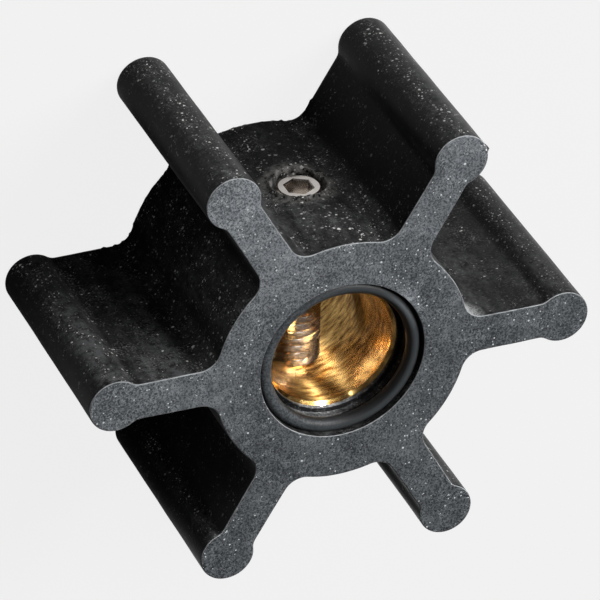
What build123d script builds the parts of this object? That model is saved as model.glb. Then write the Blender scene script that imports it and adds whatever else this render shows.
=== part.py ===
from build123d import *
import math
import os

# Flexible pump impeller of the set screw drive type: a nitrile rubber moulding with
# six paddle vanes, bonded on a turned brass bush. A set screw crosses the bore, and an
# O-ring sits in the mouth of the front end. Millimetres. The axis is +Z, the rear end
# face is at z = 0 and the set screw goes in along -X from the hub's +X side.

# Rubber moulding
outer_diameter = 50.8
width = 23.8
hub_diameter = 25.8
vane_count = 6
vane_root_thickness = 4.1
vane_tip_thickness = 3.8
tip_bead_diameter = 5.4
root_fillet = 2.1
neck_fillet = 1.3

# Stepped mouth that the moulding has at each end
seal_seat_diameter = 16.7
seal_seat_depth = 1.8
throat_diameter = 14.4
throat_depth = 0.7
cover_lip_diameter = 13.3
cover_lip_thickness = 0.4

# Brass bush
shaft_diameter = 12.7
bush_outer_diameter = 17.4
bore_chamfer = 0.3

# Set screw, M5 by 20, and the holes that it passes through
screw_diameter = 4.85
screw_length = 20.0
screw_recess = 0.4
screw_end_chamfer = 0.45
socket_across_flats = 2.5
socket_depth = 2.6
tapped_hole_clearance = 0.04
screw_hole_diameter = 5.6
screw_hole_lead_in = 0.45
lead_in_slope = 2.0

# O-ring
o_ring_section = 1.4
o_ring_clearance = 0.05

# How far a cutter runs past the surface it opens, and how near a radius counts as met
cut_overshoot = 2.0
radius_match = 1e-4

hub_radius = hub_diameter / 2
tip_bead_radius = tip_bead_diameter / 2
tip_bead_centre_radius = outer_diameter / 2 - tip_bead_radius
vane_pitch_angle = 360 / vane_count
first_vane_angle = vane_pitch_angle / 2
middle_z = width / 2
bush_end_inset = seal_seat_depth + throat_depth + cover_lip_thickness
bush_length = width - 2 * bush_end_inset
bush_outer_radius = bush_outer_diameter / 2
screw_head_x = hub_radius - screw_recess
screw_tip_x = screw_head_x - screw_length


def vane_outline():
    """One paddle along +X: a tapered web that ends in a round bead."""
    root_half = vane_root_thickness / 2
    tip_half = vane_tip_thickness / 2
    with BuildSketch() as paddle:
        with BuildLine():
            Polyline(
                (0, -root_half),
                (tip_bead_centre_radius, -tip_half),
                (tip_bead_centre_radius, tip_half),
                (0, root_half),
                close=True,
            )
        make_face()
        with Locations((tip_bead_centre_radius, 0)):
            Circle(tip_bead_radius)
        necks = paddle.vertices().filter_by(
            lambda v: hub_radius < v.X < tip_bead_centre_radius
        )
        fillet(necks, neck_fillet)
    return paddle.sketch


def impeller_outline():
    """Hub and vanes as the end face shows them, with a fillet at each vane root."""
    with BuildSketch() as outline:
        Circle(hub_radius)
        with PolarLocations(0, vane_count, start_angle=first_vane_angle):
            add(vane_outline())
        roots = outline.vertices().filter_by(
            lambda v: abs(math.hypot(v.X, v.Y) - hub_radius) < radius_match
        )
        fillet(roots, root_fillet)
    return outline.sketch


def bush_blank():
    """The bush's outside as turned, before it is bored."""
    return Pos(0, 0, middle_z) * Cylinder(bush_outer_radius, bush_length)


def mouth_cavity():
    """The stepped mouth at the front end, from the end face down to the bush."""
    with BuildSketch(Plane.XZ) as half_section:
        with BuildLine():
            seat_floor = width - seal_seat_depth
            throat_floor = seat_floor - throat_depth
            lip_end = throat_floor - cover_lip_thickness
            Polyline(
                (0, width + cut_overshoot),
                (seal_seat_diameter / 2, width + cut_overshoot),
                (seal_seat_diameter / 2, seat_floor),
                (throat_diameter / 2, seat_floor),
                (throat_diameter / 2, throat_floor),
                (cover_lip_diameter / 2, throat_floor),
                (cover_lip_diameter / 2, lip_end),
                (0, lip_end),
                close=True,
            )
        make_face()
    return revolve(half_section.sketch, Axis.Z)


def screw_hole():
    """Clearance hole in the rubber, from the bush out through the hub, with a lead-in."""
    reach = hub_radius + cut_overshoot
    hole_radius = screw_hole_diameter / 2
    # the cone is as wide as the lead-in asks where it meets the hub's crown
    cone_start = hub_radius - lead_in_slope * screw_hole_lead_in
    cone_length = reach - cone_start
    drill = Plane.YZ * Cylinder(
        hole_radius, reach, align=(Align.CENTER, Align.CENTER, Align.MIN)
    )
    cone = (
        Plane.YZ.offset(cone_start)
        * Cone(
            hole_radius,
            hole_radius + cone_length / lead_in_slope,
            cone_length,
            align=(Align.CENTER, Align.CENTER, Align.MIN),
        )
    )
    return Pos(0, 0, middle_z) * (drill + cone)


def rubber_body():
    """Hub, vanes and beads in one moulding, moulded round the bush."""
    body = extrude(impeller_outline(), width)
    front_mouth = mouth_cavity()
    rear_mouth = mirror(front_mouth, about=Plane.XY.offset(middle_z))
    return body - bush_blank() - front_mouth - rear_mouth - screw_hole()


def brass_bush():
    """Bored and chamfered bush with the tapped hole right across it."""
    bore_radius = shaft_diameter / 2
    bored = bush_blank() - Pos(0, 0, middle_z) * Cylinder(bore_radius, width)
    bore_ends = bored.edges().filter_by(
        lambda e: e.geom_type == GeomType.CIRCLE
        and abs(e.radius - bore_radius) < radius_match
    )
    bored = chamfer(bore_ends, bore_chamfer)
    tapped_radius = screw_diameter / 2 + tapped_hole_clearance
    tap_length = bush_outer_diameter + 2 * cut_overshoot
    tapped_hole = Pos(0, 0, middle_z) * Rot(0, 90, 0) * Cylinder(tapped_radius, tap_length)
    return bored - tapped_hole


def set_screw():
    """Headless screw along X, its socket end just under the hub's surface."""
    radius = screw_diameter / 2
    shank = Plane.YZ.offset(screw_tip_x) * Cylinder(
        radius, screw_length, align=(Align.CENTER, Align.CENTER, Align.MIN)
    )
    shank = chamfer(shank.edges().filter_by(GeomType.CIRCLE), screw_end_chamfer)
    with BuildSketch(Plane.YZ.offset(screw_head_x)) as socket:
        RegularPolygon(socket_across_flats / 2, 6, major_radius=False)
    shank -= extrude(socket.sketch, -socket_depth)
    return Pos(0, 0, middle_z) * shank


def mouth_o_ring():
    """O-ring on the shoulder of the front mouth."""
    section_radius = o_ring_section / 2
    ring_radius = seal_seat_diameter / 2 - o_ring_clearance - section_radius
    seat_z = width - seal_seat_depth
    return Pos(0, 0, seat_z + o_ring_clearance + section_radius) * Torus(
        ring_radius, section_radius
    )


pieces = {
    "rubber_body": rubber_body(),
    "brass_bush": brass_bush(),
    "set_screw": set_screw(),
    "mouth_o_ring": mouth_o_ring(),
}

os.makedirs("parts", exist_ok=True)
for name, piece in pieces.items():
    export_step(piece, f"parts/{name}.step")
    print(name, "volume", round(piece.volume, 1), "mm3")
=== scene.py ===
# %% [markdown]
# # A flexible pump impeller
#
# This file dresses one small part of a raw water pump: a rubber impeller with six paddle
# vanes, moulded round a brass bush. A set screw crosses the bore and drives it, and an
# O-ring sits in the mouth.
#
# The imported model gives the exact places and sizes, and this file gives the finish. The
# axis of the part is Z, its rear end face is at Z = 0, and the set screw points along X.
# Blender works in metres, so sizes are written in millimetres and turned into metres
# where a mesh is made.

# %% Load the frame
import math
from functools import partial
from types import SimpleNamespace

import bmesh
import bpy
import numpy as np
from mathutils import Matrix, Vector, noise


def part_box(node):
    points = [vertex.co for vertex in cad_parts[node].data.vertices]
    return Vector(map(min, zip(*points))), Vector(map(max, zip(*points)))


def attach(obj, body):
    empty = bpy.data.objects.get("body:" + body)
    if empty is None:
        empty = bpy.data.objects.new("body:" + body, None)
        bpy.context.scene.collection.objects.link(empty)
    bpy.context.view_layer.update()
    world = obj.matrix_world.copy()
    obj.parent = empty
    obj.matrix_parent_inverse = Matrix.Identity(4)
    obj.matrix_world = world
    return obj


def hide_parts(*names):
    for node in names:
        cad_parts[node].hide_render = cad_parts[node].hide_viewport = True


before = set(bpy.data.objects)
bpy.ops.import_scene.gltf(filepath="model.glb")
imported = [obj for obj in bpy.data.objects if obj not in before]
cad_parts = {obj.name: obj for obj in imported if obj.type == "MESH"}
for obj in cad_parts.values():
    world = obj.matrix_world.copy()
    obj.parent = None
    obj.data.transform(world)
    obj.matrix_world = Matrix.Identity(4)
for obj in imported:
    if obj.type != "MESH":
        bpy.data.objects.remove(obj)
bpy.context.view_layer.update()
MM = 0.001
print("nodes:", sorted(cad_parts))

# %% [markdown]
# ## Sizes
#
# The overall sizes come from the frame, so that a new piece can't drift away from the
# solid that it replaces. The others are the moulding's own: hub, web, bead and fillets.

# %% Sizes in millimetres
body_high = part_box("rubber_body")[1] / MM
bush_low, bush_high = (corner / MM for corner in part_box("brass_bush"))
screw_low, screw_high = (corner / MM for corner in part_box("set_screw"))
ring_low, ring_high = (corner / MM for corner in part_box("mouth_o_ring"))

width = body_high.z
outer_radius = body_high.y
middle_z = width / 2
hub_radius = 12.9
vane_count = 6
bead_radius = 2.7
bead_centre_radius = outer_radius - bead_radius
vane_root_half = 2.05
vane_tip_half = 1.9
root_fillet = 2.1
neck_fillet = 1.3

seat_radius = 8.35
seat_depth = 1.8
throat_radius = 7.2
throat_depth = 0.7
lip_radius = 6.65
bush_radius = bush_high.x
bush_end = bush_low.z
bore_radius = 6.35
print("outer radius", round(outer_radius, 2), "width", round(width, 2), "mm")

# %% [markdown]
# ## Helpers for meshes
#
# Every piece here is built point by point with bmesh, Blender's library for editing a
# mesh in a script. Modifiers could do much of it, but the pieces have to meet each other
# to a hundredth of a millimetre, and a formula does that best. Most of the surfaces are
# rows of vertices joined by four-sided faces. What is left between two closed loops is
# filled with triangles.

# %% Helpers for meshes
sharp_angle = math.radians(35)


def grid_of_faces(bm, rows):
    """Quads between rows of vertices, each row closed into a ring."""
    for low, high in zip(rows, rows[1:]):
        for i in range(len(low)):
            j = (i + 1) % len(low)
            bm.faces.new((low[i], low[j], high[j], high[i]))


def loop_edges(bm, loop):
    """The edges round a closed loop of vertices, added where there are none."""
    pairs = zip(loop, loop[1:] + loop[:1])
    return [bm.edges.get(pair) or bm.edges.new(pair) for pair in pairs]


def fill(bm, edges, normal):
    """Triangles over the area that these edges bound."""
    bmesh.ops.triangle_fill(bm, edges=edges, use_beauty=True, normal=normal)


def face_outwards(bm, name):
    """Turns all faces outwards, and prints how many edges are left open."""
    bmesh.ops.recalc_face_normals(bm, faces=bm.faces)
    print("open edges in the", name + ":", sum(1 for edge in bm.edges if len(edge.link_faces) != 2))


def piece_from_bmesh(name, bm, materials):
    """A smooth-shaded object in metres from a bmesh in millimetres."""
    bmesh.ops.scale(bm, vec=(MM, MM, MM), verts=bm.verts)
    mesh = bpy.data.meshes.new(name)
    bm.to_mesh(mesh)
    bm.free()
    for material in materials:
        mesh.materials.append(material)
    mesh.shade_smooth()
    mesh.set_sharp_from_angle(angle=sharp_angle)
    piece = bpy.data.objects.new(name, mesh)
    bpy.context.scene.collection.objects.link(piece)
    print(name, "has", len(mesh.polygons), "faces")
    return piece


# %% [markdown]
# ## The moulding's outline
#
# Seen from the end, the impeller is a hub with six paddles. A paddle is a straight web
# that ends in a round bead, and a fillet eases each change. It could be drawn as a long
# list of points. A few arcs and lines say the same with fewer numbers, and they keep
# the tangents exact, which is what makes a highlight run smoothly round a fillet.

# %% An arc, and the fillets that touch the web's edge
point_spacing = 0.3
web_slope = (vane_root_half - vane_tip_half) / bead_centre_radius


def arc(centre, radius, start, end):
    """Points on an arc from start to end, in radians, about point_spacing apart."""
    count = max(2, math.ceil(abs(end - start) * radius / point_spacing))
    angles = np.linspace(start, end, count + 1)
    return np.column_stack((centre[0] + radius * np.cos(angles), centre[1] + radius * np.sin(angles)))


def touching_centre(circle_x, circle_radius, fillet, side):
    """Centre of a fillet between the web's lower line and a circle on the vane's axis."""
    height = -vane_root_half - fillet * math.hypot(1, web_slope)
    a = 1 + web_slope ** 2
    half_b = web_slope * height - circle_x
    c = circle_x ** 2 + height ** 2 - (circle_radius + fillet) ** 2
    x = (-half_b + side * math.sqrt(half_b ** 2 - a * c)) / a
    return np.array((x, height + web_slope * x))


# %% One vane, and the whole outline
def lower_half_vane():
    """Outline of a vane along +X, from its root on the -Y side out to its tip."""
    web_side = math.atan2(1, -web_slope)
    bead_centre = np.array((bead_centre_radius, 0))
    root = touching_centre(0, hub_radius, root_fillet, 1)
    neck = touching_centre(bead_centre_radius, bead_radius, neck_fillet, -1)
    to_bead = bead_centre - neck
    root_arc = arc(root, root_fillet, math.atan2(-root[1], -root[0]), web_side)
    neck_arc = arc(neck, neck_fillet, web_side, math.atan2(to_bead[1], to_bead[0]))
    bead_arc = arc(bead_centre, bead_radius, math.atan2(-to_bead[1], -to_bead[0]), 0)
    web_count = math.ceil(np.linalg.norm(neck_arc[0] - root_arc[-1]) / point_spacing)
    web = np.linspace(root_arc[-1], neck_arc[0], web_count + 1)
    return np.vstack((root_arc, web[1:-1], neck_arc, bead_arc[1:]))


def impeller_outline():
    """The closed outline of hub and vanes, anticlockwise."""
    lower = lower_half_vane()
    upper = (lower * (1, -1))[::-1]
    vane = np.vstack((lower, upper[1:]))
    pitch = 2 * math.pi / vane_count
    root_angle = math.atan2(vane[-1][1], vane[-1][0])
    hub = arc((0, 0), hub_radius, root_angle, pitch - root_angle)[1:-1]
    sector = np.vstack((vane, hub))
    points = []
    for i in range(vane_count):
        turn = pitch * (i - 0.5)
        spin = np.array(((math.cos(turn), math.sin(turn)), (-math.sin(turn), math.cos(turn))))
        points.append(sector @ spin)
    return np.vstack(points)


outline = impeller_outline()
along = np.roll(outline, -1, axis=0) - np.roll(outline, 1, axis=0)
outward = np.column_stack((along[:, 1], -along[:, 0])) / np.linalg.norm(along, axis=1)[:, None]
print("outline points:", len(outline))

# %% [markdown]
# ## The rubber skin
#
# A solid moulding can be swept from its outline. Rings of the outline stand one above
# the other, and a few things are added that a plain sweep lacks. The edges at the end
# faces are rounded by a hair, since a mould never leaves them knife-sharp. The skin
# waves by a few hundredths of a millimetre, mostly in bands along the vane, because
# rubber shrinks as it cures. At the rear edge a little flash stands out where the mould
# closed, and one bead keeps a pip of rubber where the mould was filled.

# %% Waves, flash and the pip of rubber
# an odd number added inside a noise only picks another part of it
wave_height = 0.035
band_share = 0.6
bands_across_per_mm = 0.55
bands_along_per_mm = 0.05
dent_share = 0.8
dents_per_mm = 0.22

flash_level = 0.5
flash_height = 0.52
flash_radius = 17.0
flash_fade = 2.0
least_flash = 0.45
stretches_per_mm = 0.16
stretch_contrast = 3
teeth_per_mm = 4.2

nub_place = (20.14, -14.0, 23.1)
nub_height = 0.55
nub_base_radius = 0.7
nub_steepness = 1.5


def wave(x, y, z):
    """Height of the skin above its true shape: bands along Z and broad dents."""
    bands = noise.noise(Vector((x * bands_across_per_mm, y * bands_across_per_mm,
                                z * bands_along_per_mm + 7.3)))
    dents = noise.noise(Vector((x * dents_per_mm, y * dents_per_mm, z * dents_per_mm)))
    return wave_height * (band_share * bands + dent_share * dents)


def flash(x, y, z):
    """How far the flash stands out: ragged, in a few stretches of the rear edge."""
    if z > flash_level:
        return 0.0
    near_hub = min(1.0, max(0.0, (flash_radius - math.hypot(x, y)) / flash_fade))
    stretch = noise.noise(Vector((x * stretches_per_mm + 3.1, y * stretches_per_mm, 2.0)))
    stretch = max(least_flash, min(1.0, stretch_contrast * stretch))
    teeth = noise.noise(Vector((x * teeth_per_mm, y * teeth_per_mm, 5.0)))
    return near_hub * flash_height * stretch * max(0.0, teeth)


def nub(x, y, z):
    """A pip of rubber left on one bead, near the front, where the mould was filled."""
    away = math.dist((x, y, z), nub_place)
    return nub_height * max(0.0, 1 - away / nub_base_radius) ** nub_steepness


# %% Rings of the skin, from the rear end face to the front
edge_round = 0.13
edge_steps = 3
skin_levels = 60

# a flat border round each end face keeps its shading flat, right up to the small round
face_border = 0.3


def skin_rings():
    """Height and inset of each ring of the skin."""
    turns = [math.pi / 2 * i / edge_steps for i in range(edge_steps + 1)]
    rear = [(0.0, edge_round + face_border)]
    rear += [(edge_round * (1 - math.sin(math.pi / 2 - t)), edge_round * (1 - math.sin(t))) for t in turns]
    body = [(float(z), 0.0) for z in np.linspace(edge_round, width - edge_round, skin_levels)[1:-1]]
    front = [(width - z, inset) for z, inset in reversed(rear)]
    return rear + body + front


def inside_box(point):
    """Keeps a point of the skin inside the frame's box."""
    x_limit, y_limit = body_high.x, body_high.y
    return (min(max(point[0], -x_limit), x_limit), min(max(point[1], -y_limit), y_limit), point[2])


def add_skin(bm):
    """The outer skin; returns its rings of vertices."""
    rings = []
    for z, inset in skin_rings():
        ring = []
        for (x, y), (nx, ny) in zip(outline, outward):
            lift = wave(x, y, z) - inset
            if inset < edge_round / 2:
                lift += flash(x, y, z) + nub(x, y, z)
            ring.append(bm.verts.new(inside_box((x + nx * lift, y + ny * lift, z))))
        rings.append(ring)
    grid_of_faces(bm, rings)
    return rings


bm = bmesh.new()
skin_rows = add_skin(bm)
print("rings in the skin:", len(skin_rows))

# %% [markdown]
# ## The stepped mouth and the seat of the bush
#
# The inner surface is turned about the axis: a stepped mouth at each end, a thin lip of
# rubber over the bush's end face, and the wall that the bush is bonded to. A lathe is the
# natural tool: one half section, carried round in equal steps.

# %% Lathe for everything round the axis
lathe_steps = 256


def lathe(bm, section):
    """Turns a section of (radius, height) points about Z; returns its rings."""
    angles = [2 * math.pi * i / lathe_steps for i in range(lathe_steps)]
    rings = [[bm.verts.new((r * math.cos(a), r * math.sin(a), z)) for a in angles] for r, z in section]
    grid_of_faces(bm, rings)
    return rings


# %% Both mouths
mouth_round = 0.09
corner_steps = 3
seat_corner = 0.12
throat_corner = 0.05
wall_start = 1.0
wall_levels = 40


def eased_edge(radius, height):
    """Points of the small round where a step of this radius meets the face round it."""
    angles = np.linspace(-math.pi / 2, -math.pi, corner_steps + 1)
    centre_radius, centre_height = radius + mouth_round, height + mouth_round
    return [(centre_radius + mouth_round * math.cos(a), centre_height + mouth_round * math.sin(a))
            for a in angles]


def half_section():
    """Section of a mouth, from the rear end face to the start of the bush's seat."""
    throat_end = seat_depth + throat_depth
    section = [(seat_radius + mouth_round + face_border, 0.0)] + eased_edge(seat_radius, 0.0)
    section += [(seat_radius, seat_depth - seat_corner),
                (seat_radius - seat_corner / 3, seat_depth - seat_corner / 3),
                (seat_radius - seat_corner, seat_depth)]
    section += eased_edge(throat_radius, seat_depth)
    section += [(throat_radius, throat_end - throat_corner), (throat_radius - throat_corner, throat_end)]
    section += eased_edge(lip_radius, throat_end) + [(lip_radius, bush_end)]
    section += [(bush_radius, bush_end), (bush_radius, bush_end + wall_start)]
    return section


def add_mouths(bm):
    """Both mouths and the bush's seat; returns the two rings at the end faces."""
    rear = half_section()
    front = [(r, width - z) for r, z in reversed(rear)]
    levels = np.linspace(rear[-1][1], front[0][1], wall_levels)[1:-1]
    rings = lathe(bm, rear + [(bush_radius, float(z)) for z in levels] + front)
    return rings[0], rings[-1]


mouth_rear, mouth_front = add_mouths(bm)
fill(bm, loop_edges(bm, skin_rows[0]) + loop_edges(bm, mouth_rear), (0, 0, -1))
fill(bm, loop_edges(bm, skin_rows[-1]) + loop_edges(bm, mouth_front), (0, 0, 1))
print("faces in the moulding, before its screw hole:", len(bm.faces))

# %% [markdown]
# ## The hole for the set screw
#
# The screw goes in through a hole in the hub, between two vanes. On the real part this
# rim isn't clean: the screw has chewed it, and it stands up in a ragged, dusty ridge. The
# skin is opened there and a fan of rings takes its place, so that the ridge has fine
# steps of its own. The rings carry on as the wall of the hole, down to the bush.

# %% Open a round hole along the screw's axis
hole_steps = 96
same_surface = 0.6

# a rough ring has broad jags and small crumbs: how dense each is, and how much it counts
jags_per_radius = 2.6
crumbs_per_radius = 8.0
crumb_share = 0.8
sideways_share = 0.5


def open_loop(bm, surface_radius, clear_radius, side=1):
    """Deletes the faces near the screw's axis at one radius; returns the open loop."""
    def near(vert):
        """Whether a vertex is on the surface to be opened and close enough to the axis."""
        x, y, z = vert.co
        on_surface = abs(math.hypot(x, y) - surface_radius) < same_surface
        return x * side > 0 and on_surface and math.hypot(y, z - middle_z) < clear_radius
    doomed = {face for face in bm.faces if all(near(v) for v in face.verts)}
    edges = [edge for edge in bm.edges if any(face in doomed for face in edge.link_faces)]
    border = [edge for edge in edges if any(face not in doomed for face in edge.link_faces)]
    bmesh.ops.delete(bm, geom=list(doomed), context="FACES_ONLY")
    bmesh.ops.delete(bm, geom=[e for e in edges if not e.link_faces], context="EDGES_FACES")
    bmesh.ops.delete(bm, geom=[v for v in bm.verts if not v.link_edges], context="VERTS")
    return border


def hole_ring(bm, radius, base_radius, side=1, lift=0.0, rough=0.0, seed=0.0):
    """A ring round the screw's axis that lies on a cylinder, or lifted off it and rough."""
    ring = []
    for i in range(hole_steps):
        a = 2 * math.pi * i / hole_steps
        across, up = math.cos(a), math.sin(a)
        jag = noise.noise(Vector((across * jags_per_radius, up * jags_per_radius, seed)))
        fine = noise.noise(Vector((across * crumbs_per_radius, up * crumbs_per_radius, seed + 4.0)))
        r = radius + rough * sideways_share * (jag + fine)
        height = lift + rough * (jag + crumb_share * fine)
        out = math.sqrt(base_radius ** 2 - (r * across) ** 2) + height
        ring.append(bm.verts.new((side * out, r * across, middle_z + r * up)))
    return ring


# %% The ragged rim and the wall of the hole
rim_radius = 3.08
hole_radius = 2.72
cut_margin = 0.45

# radius, height over the hub and roughness of each ring, from the rim into the hole
rim_profile = ((3.0, 0.05, 0.08), (2.9, 0.14, 0.18), (2.78, 0.2, 0.26), (2.67, 0.12, 0.26),
               (2.6, -0.08, 0.2), (2.58, -0.35, 0.12), (2.6, -0.8, 0.06), (2.64, -1.6, 0.03))
seed_step = 0.13


def add_screw_hole(bm):
    """Opens the skin and the bush's seat, and joins them by the wall of the hole."""
    outer = open_loop(bm, hub_radius, rim_radius + cut_margin)
    inner = open_loop(bm, bush_radius, hole_radius + cut_margin)
    rings = [hole_ring(bm, rim_radius, hub_radius)]
    for number, (radius, lift, rough) in enumerate(rim_profile):
        seed = seed_step * number
        rings.append(hole_ring(bm, radius, hub_radius, lift=lift, rough=rough, seed=seed))
    rings.append(hole_ring(bm, hole_radius, bush_radius))
    fill(bm, loop_edges(bm, rings[0]) + outer, (1, 0, 0))
    fill(bm, loop_edges(bm, rings[-1]) + inner, (1, 0, 0))
    grid_of_faces(bm, rings)


add_screw_hole(bm)
face_outwards(bm, "rubber")

# %% [markdown]
# ## Helpers for materials
#
# A material is a small graph of nodes. One function adds a node, sets its properties and
# fills its sockets. A socket gets a plain value, or another node's output, which makes a
# link. Sockets that share a name are given by number: in a colour mix, 0 is the factor
# and 6 and 7 are the two colours, and in a sum they are 0, 1 and 2. Colours are written
# as the hex values that a paint program shows. Blender counts light in linear values,
# so one function turns the first into the second.

# %% Helpers for colours and nodes
def linear(hex_colour):
    """An sRGB hex colour, such as '#606368', as linear red, green, blue and alpha."""
    values = [int(hex_colour[i:i + 2], 16) / 255 for i in (1, 3, 5)]
    return [v / 12.92 if v <= 0.04045 else ((v + 0.055) / 1.055) ** 2.4 for v in values] + [1]


def add_node(tree, kind, inputs=None, **settings):
    """Adds a node with its settings; an input is a value, a node or a node's output."""
    node = tree.nodes.new("ShaderNode" + kind)
    for name, value in settings.items():
        setattr(node, name, value)
    for name, value in (inputs or {}).items():
        if isinstance(value, bpy.types.Node):
            value = next(output for output in value.outputs if output.enabled)
        if isinstance(value, bpy.types.NodeSocket):
            tree.links.new(value, node.inputs[name])
        else:
            node.inputs[name].default_value = value
    return node


def new_material(name):
    """A material with an empty graph, and the function that adds nodes to that graph."""
    material = bpy.data.materials.new(name)
    material.use_nodes = True
    material.node_tree.nodes.clear()
    return material, partial(add_node, material.node_tree)


# %% [markdown]
# ## Masks for dust and wear
#
# A mask is 1 where a mark is and 0 where it isn't, and it lays the mark's colour over
# what is there. It could be painted by hand on an unwrapped mesh. A formula needs no
# unwrapping, and its marks keep their real size in millimetres on every piece. Two masks
# serve nearly all the finishes here: specks are cells of a Voronoi texture, of which
# only a share is kept, and veins lie where a cloudy field crosses its middle value.

# %% Specks and veins
speck_edge = 0.25


def per_size(size_mm):
    """Texture scale that makes a pattern's cell this many millimetres wide."""
    return 1 / (size_mm * MM)


def specks(add, place, cell_mm, radius_mm, share, seed):
    """A mask of small round specks: a share of the cells hold one; seed moves the cells."""
    shifted = add("VectorMath", {0: place, 1: (seed, seed * 0.7, seed * 1.3)}, operation="ADD")
    cells = add("TexVoronoi", {"Vector": shifted, "Scale": per_size(cell_mm)}, feature="F1")
    keep = add("SeparateColor", {"Color": cells.outputs["Color"]})
    size = add("MapRange", {"Value": keep, "From Min": 1 - share, "To Max": radius_mm / cell_mm})
    inside = add("Math", {0: size, 1: cells.outputs["Distance"]}, operation="SUBTRACT")
    return add("MapRange", {"Value": inside, "From Max": speck_edge * radius_mm / cell_mm})


def veins(add, field, half_width):
    """A mask of thin crooked lines, where a field crosses its middle value."""
    centred = add("Math", {0: field, 1: 0.5}, operation="SUBTRACT")
    away = add("Math", {0: centred}, operation="ABSOLUTE")
    return add("MapRange", {"Value": away, "From Max": half_width, "To Min": 1.0, "To Max": 0.0})


# %% [markdown]
# ## Moulded nitrile rubber
#
# Nitrile rubber is filled with carbon black, so it takes in nearly all light, and what
# the eye sees is its surface. The flanks copy the polished mould: they have a soft
# gloss, uneven in bands along the vane. Then the part has lain about, and dust clings to
# it in layers: a thin grey film, which also carries painted light on what looks along +X
# and towards +Y, a pale collar where the screw has chewed the rim, dust packed into a
# corner with a painted glint on it, loose specks and crumbs, fibres, and a painted
# highlight along the front edge.
#
# Each layer is a short function that lays its colour over the one before. They all ask
# the same things of a place: which way it looks, how far it is from the axis and from
# the screw, and how cloudy a few noise fields are there. Those are worked out once.

# %% What the layers ask of each place on the rubber
# sizes in mm: bands from the moulding, clouds and smears of dust, and the finest grain
band_size = 2.2
cloud_size = 5.0
smear_size = 0.8
grain_size = 0.22
band_stretch = (1, 1, 0.08)
screw_mouth = (hub_radius * MM, 0, middle_z * MM)


def skin_fields(add):
    """Noise fields, heights, distances and the facing along X at each place."""
    place = add("TexCoord").outputs["Object"]
    parts = add("SeparateXYZ", {"Vector": place})
    facing = add("SeparateXYZ", {"Vector": add("NewGeometry").outputs["Normal"]})
    along_vane = add("VectorMath", {0: place, 1: band_stretch}, operation="MULTIPLY")
    across = add("VectorMath", {0: place, 1: (1, 1, 0)}, operation="MULTIPLY")
    return SimpleNamespace(
        place=place,
        sideways=parts.outputs["Y"],
        height=parts.outputs["Z"],
        facing=facing.outputs["X"],
        from_axis=add("VectorMath", {0: across}, operation="LENGTH"),
        from_screw=add("VectorMath", {0: place, 1: screw_mouth}, operation="DISTANCE"),
        bands=add("TexNoise", {"Vector": along_vane, "Scale": per_size(band_size), "Detail": 3.0,
                               "Roughness": 0.55}),
        cloud=add("TexNoise", {"Vector": place, "Scale": per_size(cloud_size), "Detail": 4.0,
                               "Roughness": 0.6}),
        film=add("TexNoise", {"Vector": place, "Scale": per_size(smear_size), "Detail": 5.0,
                              "Roughness": 0.7}),
        grain=add("TexNoise", {"Vector": place, "Scale": per_size(grain_size), "Detail": 3.0,
                               "Roughness": 0.6}),
    )


# %% Where dust settles and light is painted, and the grey film that they make
def settling_dust(add, skin):
    """Dust and painted light together: more on what looks along +X and on the hub, and more towards +Y,
    which paints that side lighter.
    """
    # painted light and dust: more of the film and specks on faces that look along +X
    settling = add("MapRange", {"Value": skin.facing, "From Min": 0.55, "From Max": 1.0, "To Min": 0.05})
    on_hub = add("MapRange", {"Value": skin.from_axis, "From Min": (hub_radius + 0.3) * MM,
                              "From Max": (hub_radius + 1.8) * MM, "To Min": 0.85, "To Max": 0.0})
    upper_side = add("MapRange", {"Value": skin.facing, "From Min": 0.2, "From Max": 0.5})
    on_hub = add("Math", {0: on_hub, 1: upper_side}, operation="MULTIPLY")
    settling = add("Math", {0: settling, 1: on_hub}, operation="MAXIMUM")
    # painted light: the mask grows towards +Y and shrinks towards -Y, so the +Y side looks more lit
    painted_light_towards_y = add("MapRange", {"Value": skin.sideways, "From Min": -20 * MM, "From Max": 20 * MM,
                                 "To Min": 0.6, "To Max": 1.5})
    return add("Math", {0: settling, 1: painted_light_towards_y}, operation="MULTIPLY")


def dust_near_screw(add, skin):
    """Dust that the turning screw has worn off, from the rim of its hole outwards."""
    return add("MapRange", {"Value": skin.from_screw, "From Min": 2.6 * MM, "From Max": 6 * MM,
                            "To Min": 0.7, "To Max": 0.0})


def lay_film(add, skin, colour):
    """A grey film in patches and bands, more of it towards the front and by the screw, and more where the
    mask of dust and painted light is high.
    """
    to_front = add("MapRange", {"Value": skin.height, "From Min": 6 * MM, "From Max": 22 * MM,
                                "To Min": 0.35, "To Max": 1.0})
    dusty = add("Math", {0: to_front, 1: skin.near_screw}, operation="MAXIMUM")
    patches = add("MapRange", {"Value": skin.cloud, "From Min": 0.36, "From Max": 0.6, "To Min": 0.3})
    dusty = add("Math", {0: dusty, 1: patches}, operation="MULTIPLY")
    # this mask carries painted light as well as dust
    dusty = add("Math", {0: dusty, 1: skin.settling}, operation="MULTIPLY")
    banded = add("MapRange", {"Value": skin.bands, "From Min": 0.4, "From Max": 0.6,
                              "To Min": 0.35, "To Max": 1.4})
    dusty = add("Math", {0: dusty, 1: banded}, operation="MULTIPLY")
    smear = add("MapRange", {"Value": skin.film, "From Min": 0.36, "From Max": 0.64})
    smear = add("Math", {0: smear, 1: dusty}, operation="MULTIPLY")
    return add("Mix", {0: smear, 6: colour, 7: linear("#505152")}, data_type="RGBA")


# %% Dust round the screw's hole, and dust with a painted glint in one corner
dust_and_glint_corner = (2.8, -13.0, 22.9)


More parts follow.
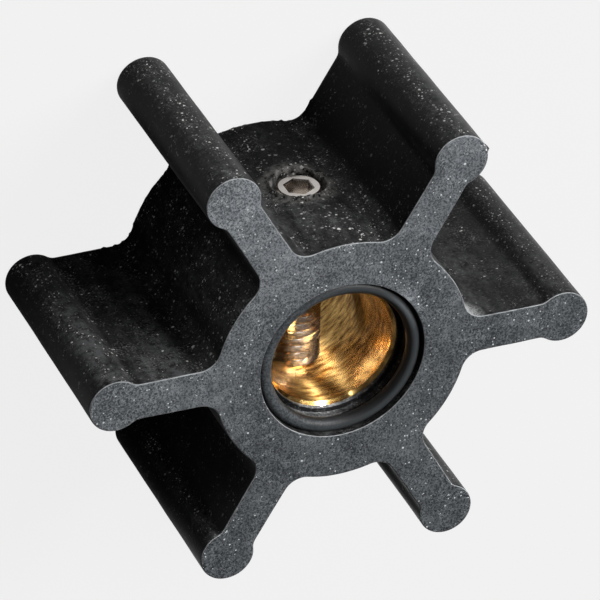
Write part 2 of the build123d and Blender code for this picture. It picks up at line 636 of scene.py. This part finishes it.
def lay_collar(add, skin, colour):
    """A pale broken collar of worn rubber round the mouth of the screw's hole."""
    collar = add("MapRange", {"Value": skin.from_screw, "From Min": 2.7 * MM, "From Max": 4.2 * MM,
                              "To Min": 1.0, "To Max": 0.0})
    broken = add("MapRange", {"Value": skin.film, "From Min": 0.4, "From Max": 0.58})
    collar = add("Math", {0: collar, 1: broken}, operation="MULTIPLY")
    return add("Mix", {0: collar, 6: colour, 7: linear("#7f7d7a")}, data_type="RGBA")


def lay_packed_dust_and_glint(add, skin, colour):
    """Dust in one corner at the front, where a vane leaves the hub, pale enough to be a painted glint as
    well.
    """
    corner = tuple(c * MM for c in dust_and_glint_corner)
    packed = add("VectorMath", {0: skin.place, 1: corner}, operation="DISTANCE")
    packed = add("MapRange", {"Value": packed, "From Min": 0.3 * MM, "From Max": 2.1 * MM,
                              "To Min": 1.0, "To Max": 0.0})
    broken = add("MapRange", {"Value": skin.grain, "From Min": 0.4, "From Max": 0.58, "To Min": 0.2})
    packed = add("Math", {0: packed, 1: broken}, operation="MULTIPLY")
    # painted glint: the pale patch in this corner stands for a highlight as well as dust
    return add("Mix", {0: packed, 6: colour, 7: linear("#c4c6c6")}, data_type="RGBA")


# %% Loose dust: crumbs, specks and lumps
ragged_push = 0.35


def clinging_dust(add, skin):
    """Where loose dust holds on: in clusters, by the screw, and where the mask of dust and painted light is
    high.
    """
    clusters = add("TexNoise", {"Vector": skin.place, "Scale": per_size(2.4), "Detail": 3.0,
                                "Roughness": 0.6})
    clusters = add("MapRange", {"Value": clusters, "From Min": 0.44, "From Max": 0.58, "To Min": 0.2})
    # this mask carries painted light as well as dust
    clinging = add("Math", {0: skin.settling, 1: 0.86, 2: 0.14}, operation="MULTIPLY_ADD")
    clinging = add("Math", {0: clinging, 1: clusters}, operation="MULTIPLY")
    return add("Math", {0: clinging, 1: skin.near_screw}, operation="MAXIMUM")


def dust_specks(add, skin):
    """Specks of three sizes. A push by the grain makes their round outlines ragged. Real
    dust is finer than the finest of them, which is drawn as coarse as it needs to show."""
    push = add("VectorMath", {0: skin.grain.outputs["Color"], "Scale": ragged_push * MM}, operation="SCALE")
    ragged = add("VectorMath", {0: skin.place, 1: push}, operation="ADD")
    coarse = specks(add, ragged, cell_mm=1.2, radius_mm=0.22, share=0.5, seed=0.0)
    fine = specks(add, ragged, cell_mm=0.5, radius_mm=0.15, share=0.6, seed=0.3)
    finest = specks(add, ragged, cell_mm=0.26, radius_mm=0.09, share=0.45, seed=0.7)
    dust = add("Math", {0: coarse, 1: fine}, operation="MAXIMUM")
    return add("Math", {0: dust, 1: finest}, operation="MAXIMUM")


def lay_loose_dust(add, skin, colour):
    """Grey crumbs, then pale specks, then a few lumps anywhere; hardly any in the mouths."""
    clinging = clinging_dust(add, skin)
    crumbs = add("MapRange", {"Value": skin.grain, "From Min": 0.54, "From Max": 0.62, "To Max": 0.6})
    crumbs = add("Math", {0: crumbs, 1: clinging}, operation="MULTIPLY")
    colour = add("Mix", {0: crumbs, 6: colour, 7: linear("#6a6a68")}, data_type="RGBA")
    dust = add("Math", {0: dust_specks(add, skin), 1: clinging}, operation="MULTIPLY")
    lumps = specks(add, skin.place, cell_mm=2.4, radius_mm=0.14, share=0.3, seed=0.6)
    lumps = add("Math", {0: lumps, 1: 0.9}, operation="MULTIPLY")
    dust = add("Math", {0: dust, 1: lumps}, operation="MAXIMUM")
    outside = add("MapRange", {"Value": skin.from_axis, "From Min": seat_radius * MM,
                               "From Max": (seat_radius + 1) * MM, "To Min": 0.15})
    dust = add("Math", {0: dust, 1: outside}, operation="MULTIPLY")
    return add("Mix", {0: dust, 6: colour, 7: linear("#e2e2de")}, data_type="RGBA")


# %% Fibres, and the painted highlight on the front edge
def lay_fibres(add, skin, colour):
    """Long thin curls of lint, here and there."""
    curls = add("TexNoise", {"Vector": skin.place, "Scale": per_size(2.6), "Detail": 2.0,
                             "Roughness": 0.5, "Distortion": 1.2})
    where = add("TexNoise", {"Vector": skin.place, "Scale": per_size(1.7), "Detail": 3.0,
                             "Roughness": 0.6})
    where = add("MapRange", {"Value": where, "From Min": 0.56, "From Max": 0.62, "To Max": 0.7})
    fibres = add("Math", {0: veins(add, curls, 0.0035), 1: where}, operation="MULTIPLY")
    return add("Mix", {0: fibres, 6: colour, 7: linear("#a9a9a6")}, data_type="RGBA")


def paint_front_edge_highlight(add, skin, colour):
    """A painted highlight on the edge at the front face: pale, most of all where it looks along +X, and
    broken into patches.
    """
    # painted highlight: a pale line on the small round of the front edge, brightest where it looks along +X
    edge = add("MapRange", {"Value": skin.height, "From Min": (width - edge_round) * MM,
                            "From Max": (width - edge_round * 0.3) * MM})
    upward = add("MapRange", {"Value": skin.facing, "From Min": -0.2, "From Max": 0.5,
                              "To Min": 0.25, "To Max": 1.0})
    edge = add("Math", {0: edge, 1: upward}, operation="MULTIPLY")
    worn = add("MapRange", {"Value": skin.film, "From Min": 0.35, "From Max": 0.6, "To Min": 0.5})
    edge = add("Math", {0: edge, 1: worn}, operation="MULTIPLY")
    return add("Mix", {0: edge, 6: colour, 7: linear("#b4b7b9")}, data_type="RGBA")


# %% The moulded rubber itself
layers = (lay_film, lay_collar, lay_packed_dust_and_glint, lay_loose_dust, lay_fibres, paint_front_edge_highlight)


def moulded_rubber():
    """Nearly black, with a weak uneven gloss; sheen stands for the bloom on old rubber."""
    material, add = new_material("moulded nitrile rubber")
    skin = skin_fields(add)
    skin.settling = settling_dust(add, skin)
    skin.near_screw = dust_near_screw(add, skin)
    colour = add("Mix", {0: skin.bands, 6: linear("#060607"), 7: linear("#0e0e0f")}, data_type="RGBA")
    for layer in layers:
        colour = layer(add, skin, colour)

    rough = add("MapRange", {"Value": skin.cloud, "From Min": 0.3, "From Max": 0.7,
                             "To Min": 0.3, "To Max": 0.46})
    fine_bump = add("Bump", {"Height": skin.grain, "Strength": 0.35, "Distance": 0.02 * MM})
    broad_bump = add("Bump", {"Height": skin.bands, "Normal": fine_bump, "Strength": 0.6,
                              "Distance": 0.06 * MM})
    shader = add("BsdfPrincipled", {"Base Color": colour, "Roughness": rough, "IOR": 1.5,
                                    "Specular IOR Level": 0.05, "Sheen Weight": 0.25,
                                    "Sheen Roughness": 0.3, "Normal": broad_bump})
    add("OutputMaterial", {"Surface": shader})
    return material


moulded = moulded_rubber()
print(moulded.name, "has", len(layers), "layers of dust and wear")

# %% [markdown]
# ## Ground nitrile rubber
#
# The two end faces are ground flat after moulding. The wheel tears the surface open, so
# it scatters light where the moulded skin takes it in: the same black rubber looks grey
# and matte, with a fine grain of crumbs, pale crinkles where it tore, and dark pits. The
# real grit is finer than a tenth of a millimetre. Here its crumb is 0.22 mm, which is
# as coarse as it needs to be to show. A Principled surface does for this too, rough and
# with little gloss.

# %% Ground rubber
crumb_size = 0.22
painted_light_side = (0.87, 0.5, 0.0)


def grind(add, place, crumb, painted_light):
    """The grain of the ground face: mottled grey, painted paler towards one side of the face, as though
    more light fell there.
    """
    cloud = add("TexNoise", {"Vector": place, "Scale": per_size(cloud_size), "Detail": 4.0,
                             "Roughness": 0.6})
    patch = add("MapRange", {"Value": cloud, "From Min": 0.3, "From Max": 0.7,
                             "To Min": 0.06, "To Max": -0.06})
    tone = add("Math", {0: crumb, 1: patch}, operation="ADD")
    tone = add("MapRange", {"Value": tone, "From Min": 0.42, "From Max": 0.6})
    # painted light: both tones are paler where the painted gradient is high
    low = add("Mix", {0: painted_light, 6: linear("#25282b"), 7: linear("#44484b")}, data_type="RGBA")
    high = add("Mix", {0: painted_light, 6: linear("#565a5d"), 7: linear("#81858a")}, data_type="RGBA")
    return add("Mix", {0: tone, 6: low, 7: high}, data_type="RGBA")


def tear(add, place, colour, painted_light):
    """Fine pale crinkles and dark pits, torn open by the wheel."""
    crinkle = add("TexNoise", {"Vector": place, "Scale": per_size(0.5), "Detail": 3.0,
                               "Roughness": 0.6, "Distortion": 0.8})
    where = add("TexNoise", {"Vector": place, "Scale": per_size(1.3), "Detail": 3.0, "Roughness": 0.6})
    where = add("MapRange", {"Value": where, "From Min": 0.38, "From Max": 0.6,
                             "To Min": 0.15, "To Max": 0.8})
    crinkle = add("Math", {0: veins(add, crinkle, 0.045), 1: where}, operation="MULTIPLY")
    # painted light: the crinkles are paler on the same side
    pale = add("Mix", {0: painted_light, 6: linear("#82868a"), 7: linear("#b2b6b8")}, data_type="RGBA")
    colour = add("Mix", {0: crinkle, 6: colour, 7: pale}, data_type="RGBA")
    pits = specks(add, place, cell_mm=0.6, radius_mm=0.08, share=0.35, seed=0.8)
    pits = add("Math", {0: pits, 1: 0.6}, operation="MULTIPLY")
    return add("Mix", {0: pits, 6: colour, 7: linear("#26282a")}, data_type="RGBA")


def ground_rubber():
    """Matte and grainy, with white specks, and painted lighter towards one side of the face."""
    material, add = new_material("ground nitrile rubber")
    place = add("TexCoord").outputs["Object"]
    # painted light: a gradient across the face, paler towards +X and +Y, stands in for light that falls
    # more strongly there
    painted_light = add("VectorMath", {0: place, 1: painted_light_side}, operation="DOT_PRODUCT")
    painted_light = add("MapRange", {"Value": painted_light, "From Min": -22 * MM, "From Max": 23 * MM})
    painted_light = add("Math", {0: painted_light, 1: 3.0}, operation="POWER")
    crumb = add("TexNoise", {"Vector": place, "Scale": per_size(crumb_size), "Detail": 3.0,
                             "Roughness": 0.7})
    colour = tear(add, place, grind(add, place, crumb, painted_light), painted_light)
    coarse = specks(add, place, cell_mm=0.9, radius_mm=0.14, share=0.5, seed=0.5)
    fine = specks(add, place, cell_mm=0.4, radius_mm=0.1, share=0.5, seed=0.2)
    dust = add("Math", {0: coarse, 1: fine}, operation="MAXIMUM")
    dust = add("Math", {0: dust, 1: 0.9}, operation="MULTIPLY")
    colour = add("Mix", {0: dust, 6: colour, 7: linear("#d6d9da")}, data_type="RGBA")
    normal = add("Bump", {"Height": crumb, "Strength": 0.6, "Distance": 0.05 * MM})
    shader = add("BsdfPrincipled", {"Base Color": colour, "Roughness": 0.8, "IOR": 1.5,
                                    "Specular IOR Level": 0.3, "Normal": normal})
    add("OutputMaterial", {"Surface": shader})
    return material


ground = ground_rubber()
print(ground.name, "is drawn with a crumb of", crumb_size, "mm")

# %% [markdown]
# ## The rubber body
#
# The mesh is closed by now: skin, mouths, seat and screw hole are one surface. A face is
# ground if it lies in one of the two end planes and looks along the axis. All the others
# keep the moulded finish, down to the small round at each edge.

# %% Give each face its finish
end_plane = 0.02
facing_axis = 0.9

for face in bm.faces:
    level = face.calc_center_median().z
    on_end = min(level, width - level) < end_plane
    face.material_index = 1 if on_end and abs(face.normal.z) > facing_axis else 0
rubber = piece_from_bmesh("moulded_impeller", bm, [moulded, ground])
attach(rubber, "root")
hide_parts("rubber_body")

# %% [markdown]
# ## The set screw
#
# A set screw is a rod with a thread along its whole length and a hexagon socket in one
# end. A thread can be a texture, but here it shows in the bore against bright brass, so
# it is cut for real. Each row of the mesh follows the helix, so that the crest is one
# clean edge, and the two ends are trimmed by cones, as the real chamfers trim them.

# %% Thread
thread_pitch = 0.8
thread_depth = 0.49
crest_radius = (screw_high.y - screw_low.y) / 2
screw_length = screw_high.x - screw_low.x
end_chamfer = 0.45
turn_steps = 72

# how far along one pitch each row lies, and how high it stands from root to crest
flank_profile = ((0.0, 1.0), (0.06, 1.0), (0.22, 0.56), (0.40, 0.06),
                 (0.5, 0.0), (0.60, 0.06), (0.78, 0.56), (0.94, 1.0))


def thread_row(number):
    """A row of the thread: its height where the helix starts a turn, and its radius."""
    turn, step = divmod(number, len(flank_profile))
    phase, height = flank_profile[step]
    return (turn + phase) * thread_pitch, crest_radius - thread_depth * (1 - height)


def trimmed(radius, height):
    """Radius under the chamfer cones at the two ends."""
    to_end = min(height, screw_length - height)
    return min(radius, crest_radius - end_chamfer + max(to_end, 0.0))


def add_thread(bm):
    """The threaded skin along +Z; a row meets the row one turn higher at the seam."""
    rows_per_turn = len(flank_profile)
    rows = []
    for number in range(-2 * rows_per_turn, int(screw_length / thread_pitch + 2) * rows_per_turn):
        start, radius = thread_row(number)
        ring = []
        for i in range(turn_steps):
            angle = 2 * math.pi * i / turn_steps
            height = start + thread_pitch * i / turn_steps
            r = trimmed(radius, height)
            ring.append(bm.verts.new((r * math.cos(angle), r * math.sin(angle), height)))
        rows.append(ring)
    for low, high in zip(rows, rows[1:]):
        for i in range(turn_steps - 1):
            bm.faces.new((low[i], low[i + 1], high[i + 1], high[i]))
    for number in range(len(rows) - rows_per_turn - 1):
        low, high = rows[number], rows[number + 1]
        low_next, high_next = rows[number + rows_per_turn], rows[number + rows_per_turn + 1]
        bm.faces.new((low[-1], low_next[0], high_next[0], high[-1]))


# %% Ends and socket
socket_half = 1.25
socket_depth = 2.6
socket_lead = 0.09
socket_lead_depth = 0.1
drill_point_depth = 0.5
points_per_flat = 6
cut_tolerance = 1e-5


def trim_end(bm, height, direction):
    """Cuts the thread off square; returns the edges of the cut."""
    everything = bm.verts[:] + bm.edges[:] + bm.faces[:]
    cut = bmesh.ops.bisect_plane(bm, geom=everything, dist=cut_tolerance, plane_co=(0, 0, height),
                                 plane_no=(0, 0, direction), clear_outer=True)
    return [e for e in cut["geom_cut"] if isinstance(e, bmesh.types.BMEdge)]


def hexagon(bm, half_flats, height):
    """A ring of points round a hexagon across the Z axis."""
    corners = [Vector((math.cos(math.pi / 3 * k), math.sin(math.pi / 3 * k), 0)) for k in range(6)]
    scale = half_flats / math.cos(math.pi / 6)
    ring = []
    for corner, following in zip(corners, corners[1:] + corners[:1]):
        for step in range(points_per_flat):
            place = corner.lerp(following, step / points_per_flat) * scale
            ring.append(bm.verts.new((place.x, place.y, height)))
    return ring


def add_socket(bm, rim):
    """The socket in the head end: a lead-in, six flats and a drill point at the bottom."""
    rings = [hexagon(bm, socket_half + socket_lead, screw_length),
             hexagon(bm, socket_half, screw_length - socket_lead_depth),
             hexagon(bm, socket_half, screw_length - socket_depth)]
    fill(bm, rim + loop_edges(bm, rings[0]), (0, 0, 1))
    grid_of_faces(bm, rings)
    drill_point = bm.verts.new((0, 0, screw_length - socket_depth - drill_point_depth))
    for vert, following in zip(rings[-1], rings[-1][1:] + rings[-1][:1]):
        bm.faces.new((vert, following, drill_point))


bm = bmesh.new()
add_thread(bm)
fill(bm, trim_end(bm, 0.0, -1), (0, 0, -1))
add_socket(bm, trim_end(bm, screw_length, 1))
face_outwards(bm, "screw")
lie_along_x = Matrix.Translation((screw_low.x, 0, middle_z)) @ Matrix.Rotation(math.pi / 2, 4, "Y")
bmesh.ops.transform(bm, matrix=lie_along_x, verts=bm.verts)

# %% [markdown]
# ## Turned stainless steel
#
# The screw is cut from stainless bar. Bare steel takes its look from what it mirrors, so
# its own colour is only a warm light grey. The cutting tool leaves it bright but not
# quite clear. One number could say how rough it is, but then each thread would shine
# alike, so the roughness wanders a little, with faint burrs that are too small to model.

# %% Steel, and the finished screw
def screw_steel():
    """Bright metal with soft-edged highlights; faint burrs break them on the flanks."""
    material, add = new_material("turned stainless steel")
    place = add("TexCoord").outputs["Object"]
    cloud = add("TexNoise", {"Vector": place, "Scale": per_size(0.8), "Detail": 4.0, "Roughness": 0.6})
    colour = add("Mix", {0: cloud, 6: linear("#c4beb8"), 7: linear("#ebe5df")}, data_type="RGBA")
    rough = add("MapRange", {"Value": cloud, "From Min": 0.3, "From Max": 0.7,
                             "To Min": 0.14, "To Max": 0.26})
    burrs = add("TexNoise", {"Vector": place, "Scale": per_size(0.35), "Detail": 3.0, "Roughness": 0.6})
    normal = add("Bump", {"Height": burrs, "Strength": 0.04, "Distance": 0.03 * MM})
    shader = add("BsdfPrincipled", {"Base Color": colour, "Metallic": 1.0, "Roughness": rough,
                                    "Normal": normal})
    add("OutputMaterial", {"Surface": shader})
    return material


screw = piece_from_bmesh("socket_set_screw", bm, [screw_steel()])
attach(screw, "root")
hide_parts("set_screw")

# %% [markdown]
# ## The brass bush
#
# The bush is turned from bar: bored, chamfered at both ends, and drilled and tapped
# right across for the set screw. Only its bore and its end lips show. A boolean cut would
# leave long thin faces that spoil a bright reflection. So the wall is a fine lathe, and
# the cross holes are opened in it in the way that the rubber's hole was.

# %% Bush mesh
bore_chamfer = 0.3
bush_levels = 60
cross_hole_radius = crest_radius + 0.04
cross_hole_margin = 0.35


def bush_section():
    """Closed section of the bush wall, from the bore's lower edge round to it again."""
    top = width - bush_end
    bore_levels = np.linspace(bush_end + bore_chamfer, top - bore_chamfer, bush_levels)
    bore = [(bore_radius, float(z)) for z in bore_levels]
    outside = [(bush_radius, float(z)) for z in np.linspace(top, bush_end, bush_levels)]
    return bore + [(bore_radius + bore_chamfer, top)] + outside + [(bore_radius + bore_chamfer, bush_end)]


def add_cross_hole(bm, side):
    """The tapped hole through one wall of the bush, with clean round edges."""
    rings = []
    for surface_radius in (bore_radius, bush_radius):
        border = open_loop(bm, surface_radius, cross_hole_radius + cross_hole_margin, side)
        rings.append(hole_ring(bm, cross_hole_radius, surface_radius, side))
        fill(bm, border + loop_edges(bm, rings[-1]), (side, 0, 0))
    grid_of_faces(bm, rings)


bm = bmesh.new()
rings = lathe(bm, bush_section())
grid_of_faces(bm, [rings[-1], rings[0]])
add_cross_hole(bm, 1)
add_cross_hole(bm, -1)
face_outwards(bm, "bush")

# %% [markdown]
# ## Turned brass
#
# A boring tool leaves fine rings round the wall. Seen along the bore, each ring throws
# light up and down the axis, so a lamp that would make a small spot on plain metal is
# drawn out into a long bright streak. The rings are far too fine to model or to show one
# by one. The usual way is an anisotropic surface, whose gloss is wider across the rings
# than along them. Two are mixed: the polished crests, which mirror the bore almost
# clearly, and a share of grooves, which draw the streak. Handling has tarnished the
# brass in brown clouds.

# %% Brass, and the finished bush
groove_share = 0.22
feed_marks = 0.25
tarnish_size = 0.45


def turned_brass():
    """Gold to brown metal, bright on its crests, with streaks of light along the axis."""
    material, add = new_material("turned brass")
    place = add("TexCoord").outputs["Object"]
    along_feed = add("VectorMath", {0: place, 1: (0.03, 0.03, 1)}, operation="MULTIPLY")
    feed = add("TexNoise", {"Vector": along_feed, "Scale": per_size(feed_marks), "Detail": 3.0,
                            "Roughness": 0.7})
    around_wall = add("VectorMath", {0: place, 1: (0.3, 0.3, 1)}, operation="MULTIPLY")
    cloud = add("TexNoise", {"Vector": around_wall, "Scale": per_size(tarnish_size), "Detail": 4.0,
                             "Roughness": 0.6})
    tarnish = add("MapRange", {"Value": cloud, "From Min": 0.35, "From Max": 0.65})
    colour = add("Mix", {0: tarnish, 6: linear("#7f521f"), 7: linear("#efc67c")}, data_type="RGBA")
    rough = add("MapRange", {"Value": cloud, "From Min": 0.3, "From Max": 0.7,
                             "To Min": 0.16, "To Max": 0.07})

    # real feed marks are finer; these are as coarse as they need to be to catch light
    lines = add("Bump", {"Height": feed, "Strength": 0.5, "Distance": 0.01 * MM})
    normal = add("Bump", {"Height": cloud, "Normal": lines, "Strength": 0.15, "Distance": 0.05 * MM})
    around = add("Tangent", direction_type="RADIAL", axis="Z")
    crests = add("BsdfPrincipled", {"Base Color": colour, "Metallic": 1.0, "Roughness": rough,
                                    "Anisotropic": 0.4, "Anisotropic Rotation": 0.25,
                                    "Normal": normal, "Tangent": around})
    grooves = add("BsdfPrincipled", {"Base Color": colour, "Metallic": 1.0, "Roughness": 0.3,
                                     "Anisotropic": 1.0, "Anisotropic Rotation": 0.25,
                                     "Normal": lines, "Tangent": around})
    shader = add("MixShader", {"Fac": groove_share, 1: crests, 2: grooves})
    add("OutputMaterial", {"Surface": shader})
    return material


bush = piece_from_bmesh("turned_bush", bm, [turned_brass()])
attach(bush, "root")
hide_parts("brass_bush")

# %% [markdown]
# ## The O-ring
#
# An O-ring comes out of a mould of two halves as a plain torus. Blender has a torus of
# its own, but the lathe makes it from one round section and keeps it exactly in its
# place, on the shoulder of the front mouth. The skin is smooth black rubber, painted a
# little greyer on its crown as a sheen. On one side it is as dusty as the ground face
# beside it.

# %% O-ring mesh
ring_section = (ring_high.z - ring_low.z) / 2
ring_radius = ring_high.x - ring_section
ring_level = (ring_low.z + ring_high.z) / 2
section_steps = 32

bm = bmesh.new()
turns = np.linspace(0, 2 * math.pi, section_steps + 1)[:-1]
section = [(ring_radius + ring_section * math.cos(t), ring_level + ring_section * math.sin(t))
           for t in turns]
rings = lathe(bm, section)
grid_of_faces(bm, [rings[-1], rings[0]])
face_outwards(bm, "O-ring")


# %% O-ring rubber, and the finished ring
def o_ring_rubber():
    """Smooth black rubber with a satin gloss, a painted sheen on its top, and dusty towards +Y."""
    material, add = new_material("moulded O-ring rubber")
    place = add("TexCoord").outputs["Object"]
    cloud = add("TexNoise", {"Vector": place, "Scale": per_size(1.2), "Detail": 4.0, "Roughness": 0.6})
    colour = add("Mix", {0: cloud, 6: linear("#161718"), 7: linear("#222325")}, data_type="RGBA")
    facing = add("SeparateXYZ", {"Vector": add("NewGeometry").outputs["Normal"]}).outputs["Z"]
    # painted sheen: the part of the ring that looks up along Z is painted greyer
    painted_crown_sheen = add("MapRange", {"Value": facing, "From Min": 0.8, "From Max": 1.0})
    colour = add("Mix", {0: painted_crown_sheen, 6: colour, 7: linear("#383b3d")}, data_type="RGBA")

    # the dusty side has the same crumb as the ground face
    sideways = add("SeparateXYZ", {"Vector": place}).outputs["Y"]
    dusty = add("MapRange", {"Value": sideways, "From Min": -1 * MM, "From Max": 6 * MM, "To Max": 0.9})
    top = add("MapRange", {"Value": facing, "From Min": 0.1, "From Max": 0.7})
    dusty = add("Math", {0: dusty, 1: top}, operation="MULTIPLY")
    crumb = add("TexNoise", {"Vector": place, "Scale": per_size(crumb_size), "Detail": 3.0,
                             "Roughness": 0.7})
    tone = add("MapRange", {"Value": crumb, "From Min": 0.4, "From Max": 0.62})
    film = add("Mix", {0: tone, 6: linear("#2c2f32"), 7: linear("#5c6063")}, data_type="RGBA")
    colour = add("Mix", {0: dusty, 6: colour, 7: film}, data_type="RGBA")
    dust = specks(add, place, cell_mm=0.8, radius_mm=0.07, share=0.25, seed=0.9)
    colour = add("Mix", {0: dust, 6: colour, 7: linear("#9b9c98")}, data_type="RGBA")
    normal = add("Bump", {"Height": cloud, "Strength": 0.3, "Distance": 0.03 * MM})
    shader = add("BsdfPrincipled", {"Base Color": colour, "Roughness": 0.45, "IOR": 1.5,
                                    "Specular IOR Level": 0.25, "Normal": normal})
    add("OutputMaterial", {"Surface": shader})
    return material


o_ring = piece_from_bmesh("front_o_ring", bm, [o_ring_rubber()])
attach(o_ring, "root")
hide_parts("mouth_o_ring")

# %% [markdown]
# ## Floor
#
# The part stands on a sheet of pale paper. It should look plain and near-white, with only
# a soft shadow on it, and lamps that light the part well seldom light the ground so
# evenly. So the paper is a mix: to the camera most of it simply glows near-white, and to
# all other light it is matte grey and takes the part's shadow. Away from that shadow,
# mirrors see the glowing paper too. It lies a hair under the part, since two faces in
# one plane would flicker.

# %% Floor of pale paper
backdrop_share = 0.84
shadow_centre = (-9.0, 7.0)
shadow_reach = (24.0, 38.0)
floor_half = 500.0
floor_gap = 0.02


def pale_paper():
    """Near-white to the camera, and matte grey to the light that falls on the part."""
    material, add = new_material("pale studio paper")
    rays = add("LightPath")
    place = add("TexCoord").outputs["Object"]
    centre = (shadow_centre[0] * MM, shadow_centre[1] * MM, 0)
    reach = add("VectorMath", {0: place, 1: centre}, operation="DISTANCE")
    clear = add("MapRange", {"Value": reach, "From Min": shadow_reach[0] * MM,
                             "From Max": shadow_reach[1] * MM}, interpolation_type="SMOOTHSTEP")
    mirrored = add("Math", {0: rays.outputs["Is Glossy Ray"], 1: rays.outputs["Is Transmission Ray"]},
                   operation="MAXIMUM")
    mirrored = add("Math", {0: mirrored, 1: clear}, operation="MULTIPLY")
    seen = add("Math", {0: rays.outputs["Is Camera Ray"], 1: mirrored}, operation="MAXIMUM")
    share = add("Math", {0: seen, 1: backdrop_share}, operation="MULTIPLY")
    plain = add("Emission", {"Color": linear("#ffffff"), "Strength": 1.0})
    matte = add("BsdfDiffuse", {"Color": linear("#8a8a8a")})
    add("OutputMaterial", {"Surface": add("MixShader", {"Fac": share, 1: matte, 2: plain})})
    return material


bm = bmesh.new()
bmesh.ops.create_grid(bm, x_segments=2, y_segments=2, size=floor_half,
                      matrix=Matrix.Translation((0, 0, -floor_gap)))
floor = piece_from_bmesh("studio_floor", bm, [pale_paper()])

# %% [markdown]
# ## A white card under the bore
#
# Little light reaches the bottom of a narrow bore, and without it the brass wall mirrors
# darkness. A round card that glows a little, laid under the bore, is the usual remedy.
# It is a part of the studio and not of the impeller.

# %% White card
card_light = 0.35
card_height = 0.05
card_steps = 96


def white_card():
    """Plain white that glows weakly and evenly."""
    material, add = new_material("white card")
    glow = add("Emission", {"Color": linear("#ffffff"), "Strength": card_light})
    add("OutputMaterial", {"Surface": glow})
    return material


bm = bmesh.new()
bmesh.ops.create_circle(bm, cap_ends=True, segments=card_steps, radius=bore_radius,
                        matrix=Matrix.Translation((0, 0, card_height)))
card = piece_from_bmesh("bore_card", bm, [white_card()])

# %% [markdown]
# ## World and lamps
#
# Black rubber and bright metal want different light. Two large softboxes, a strong one
# and a weak one, model the rubber with soft shadows, over a faint even glow from the
# world. Two snoots, which are spot lamps with a narrow cone, are aimed into the bore:
# one draws the streak on the brass wall and one lights the lip at the end of it. They
# hang close and are small, so that no light spills onto the end face. A sun lamp would
# be simpler, but it has no size or place, and so no soft edge that fades with distance.
# The camera sees none of the lamps.

# %% World
world_light = 0.1

world = bpy.data.worlds.new("soft studio")
world.use_nodes = True
background = world.node_tree.nodes["Background"]
background.inputs["Color"].default_value = linear("#f4f6f8")
background.inputs["Strength"].default_value = world_light
bpy.context.scene.world = world
print("the world's light is", world_light)

# %% Lamps
softbox_aim = (0, 0, 12)
snoot_blend = 0.25


def hang_lamp(name, kind, place, back, power):
    """A lamp at a place, with its back turned this way; the camera doesn't see it."""
    lamp = bpy.data.lights.new(name, kind)
    lamp.energy = power
    holder = bpy.data.objects.new(name, lamp)
    holder.location = place
    holder.rotation_euler = back.to_track_quat("Z", "Y").to_euler()
    holder.visible_camera = False
    bpy.context.scene.collection.objects.link(holder)
    print(name, "has", power, "W")
    return lamp


def softbox(name, place_mm, size_mm, power):
    """A square area lamp at a place, facing the part."""
    place, aim = Vector(place_mm) * MM, Vector(softbox_aim) * MM
    lamp = hang_lamp(name, "AREA", place, place - aim, power)
    lamp.shape = "SQUARE"
    lamp.size = size_mm * MM


def snoot(name, aim_mm, azimuth, elevation, away_mm, size_mm, power, reach_mm):
    """A spot lamp whose light falls only on a small disc round its aim."""
    aim, turned, raised = Vector(aim_mm) * MM, math.radians(azimuth), math.radians(elevation)
    level = math.cos(raised)
    back = Vector((math.cos(turned) * level, math.sin(turned) * level, math.sin(raised)))
    lamp = hang_lamp(name, "SPOT", aim + back * away_mm * MM, back, power)
    lamp.shadow_soft_size = size_mm * MM / 2
    lamp.spot_size = 2 * math.atan(reach_mm / away_mm)
    lamp.spot_blend = snoot_blend


softbox("key softbox", place_mm=(230, -315, 385), size_mm=240, power=3.6)
softbox("top softbox", place_mm=(485, -140, 220), size_mm=200, power=0.6)
snoot("streak snoot", aim_mm=(-5.0, -1.9, 15.0), azimuth=8, elevation=53,
      away_mm=150, size_mm=3, power=11, reach_mm=3.4)
snoot("lip snoot", aim_mm=(-6.0, 1.2, 19.4), azimuth=-33, elevation=29,
      away_mm=110, size_mm=4, power=5.5, reach_mm=2.2)

# %% [markdown]
# ## Camera
#
# The camera stands half a metre away and looks down at the front end face. A long lens
# from so far keeps the edges of the vanes nearly parallel. Its turn could be given by
# three angles, but two directions are easier to see in the mind: where its back points,
# and where its top points. A third follows from them.

# %% Camera
camera_place = (264.33, 161.14, 396.57)
camera_back = (0.5357, 0.3270, 0.7785)
camera_up = (0.8441, -0.1822, -0.5043)
lens_mm = 308.6
sensor_mm = 36
nearest_m = 0.01

camera_data = bpy.data.cameras.new("camera")
camera_data.sensor_width = sensor_mm
camera_data.lens = lens_mm
camera_data.clip_start = nearest_m
camera = bpy.data.objects.new("camera", camera_data)
back = Vector(camera_back).normalized()
right = Vector(camera_up).cross(back).normalized()
up = back.cross(right).normalized()
turn = Matrix((right, up, back)).transposed().to_4x4()
camera.matrix_world = Matrix.Translation(Vector(camera_place) * MM) @ turn
bpy.context.scene.collection.objects.link(camera)
bpy.context.scene.camera = camera
bpy.context.scene.view_settings.view_transform = "Standard"
print("camera is", round(Vector(camera_place).length), "mm from the part")
